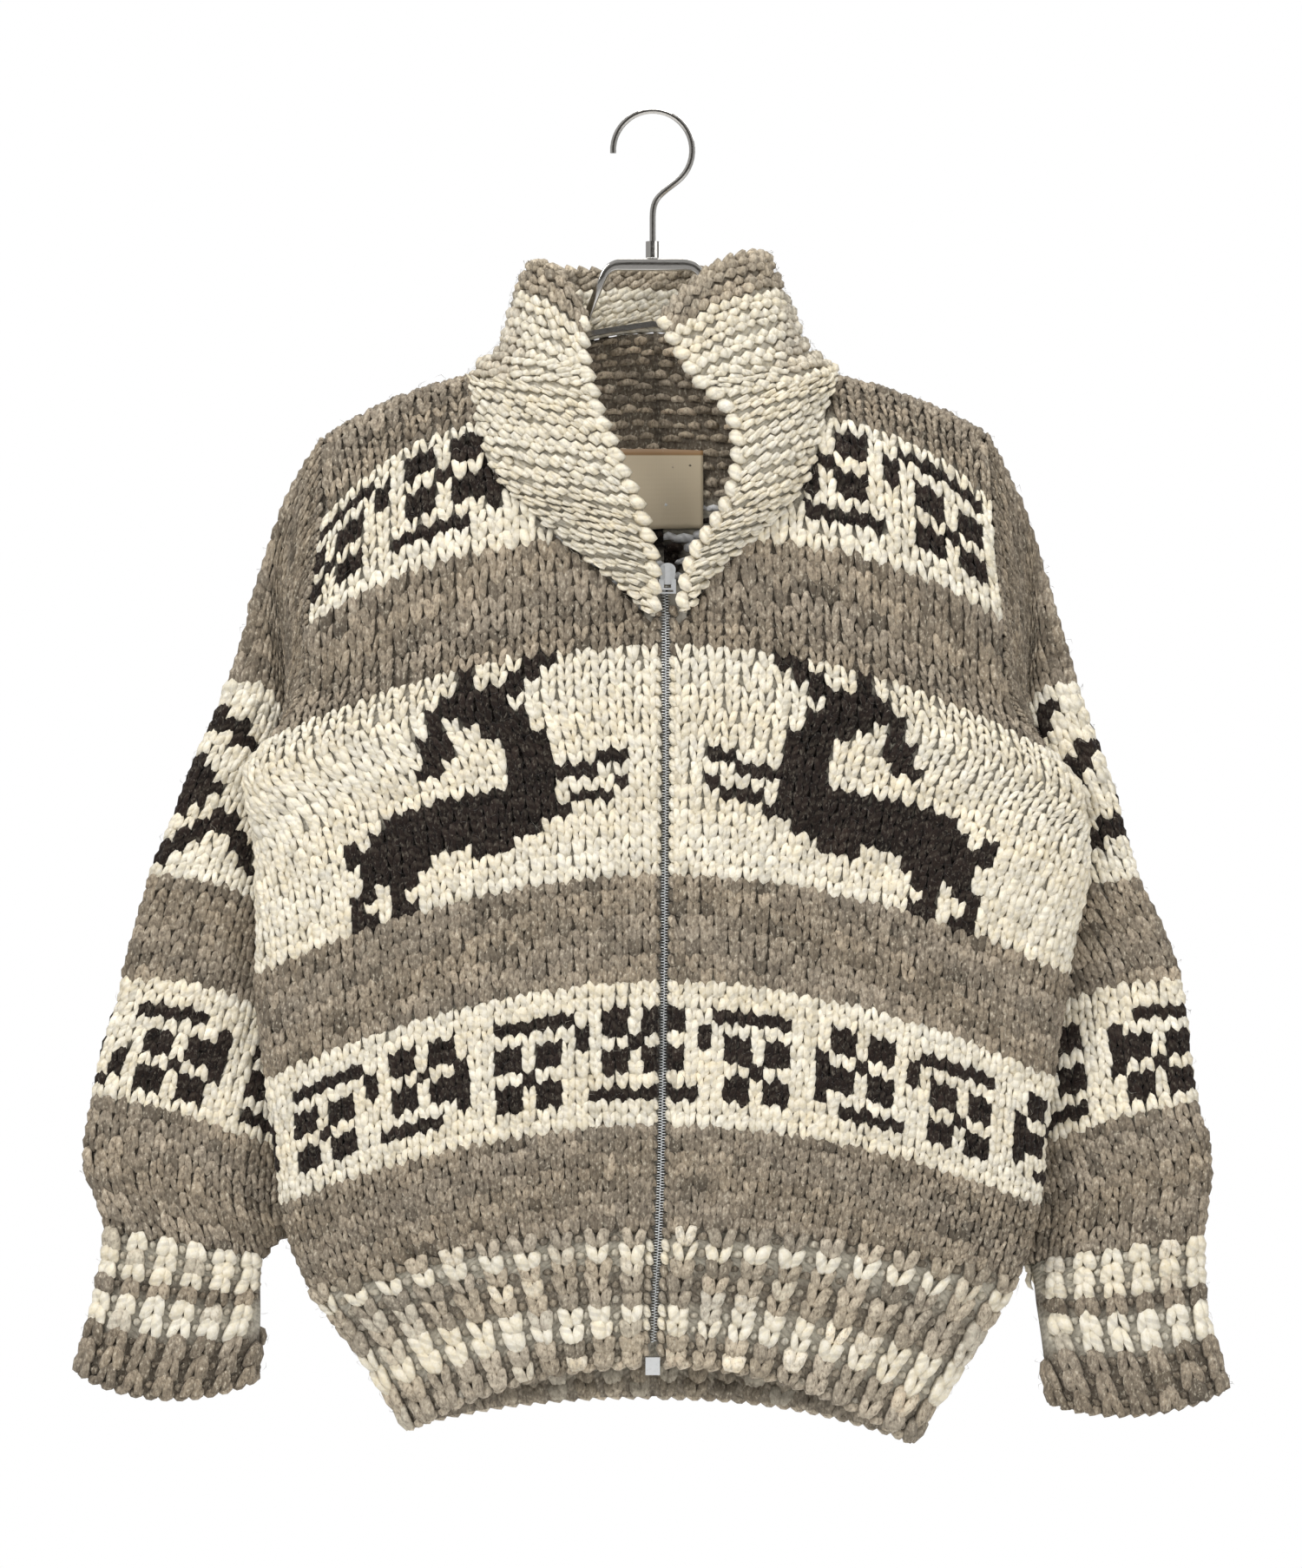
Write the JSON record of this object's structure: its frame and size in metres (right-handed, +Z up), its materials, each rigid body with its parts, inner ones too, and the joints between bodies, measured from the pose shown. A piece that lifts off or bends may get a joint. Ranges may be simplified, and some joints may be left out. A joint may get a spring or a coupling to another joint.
{
  "type": "knitted zip cardigan on a clothes hanger",
  "caption": "Thick hand-knitted wool cardigan with a shawl collar, metal zip and leaping deer, hanging open at the neck on a plain metal hanger.",
  "frame": {"origin": "inside top of the hanger's hook, where it rests on a rail", "axes": "+X to the right as the cardigan is seen from its front, +Y from the front to the back, +Z up"},
  "size_m": [0.759, 0.108, 0.8758],
  "materials": {
    "knit_wool": "hand-spun wool knitted in bands of cream, grey-beige and dark brown",
    "collar_wool": "cream hand-spun wool in garter ridges",
    "label_satin": "bare woven satin",
    "zip_tape": "woven cotton tape",
    "zip_metal": "polished",
    "steel": "polished wire and strip"
  },
  "bodies": {
    "cardigan_and_hanger": {"hanger_hook": "steel", "hanger_ferrule": "steel", "hanger_head": "steel", "hanger_arch": "steel", "back": "knit_wool", "front_left": "knit_wool", "front_right": "knit_wool", "sleeve_left": "knit_wool", "sleeve_right": "knit_wool", "hem_rib_back": "knit_wool", "hem_rib_left": "knit_wool", "hem_rib_right": "knit_wool", "cuff_left": "knit_wool", "cuff_right": "knit_wool", "collar": "collar_wool", "zip_tape_left": "zip_tape", "zip_tape_right": "zip_tape", "zip_teeth_left": "zip_metal", "zip_teeth_right": "zip_metal", "zip_slider": "zip_metal", "zip_box": "zip_metal", "label": "label_satin"},
    "zip_pull": {"zip_pull": "zip_metal"}
  },
  "joints": [
    {"name": "zip_pull_hinge", "type": "hinge", "parent": "cardigan_and_hanger", "child": "zip_pull", "pos_m": [0.0096, -0.04225, -0.3081], "axis": [-1, 0, 0], "range_deg": [0, 140]}
  ]
}
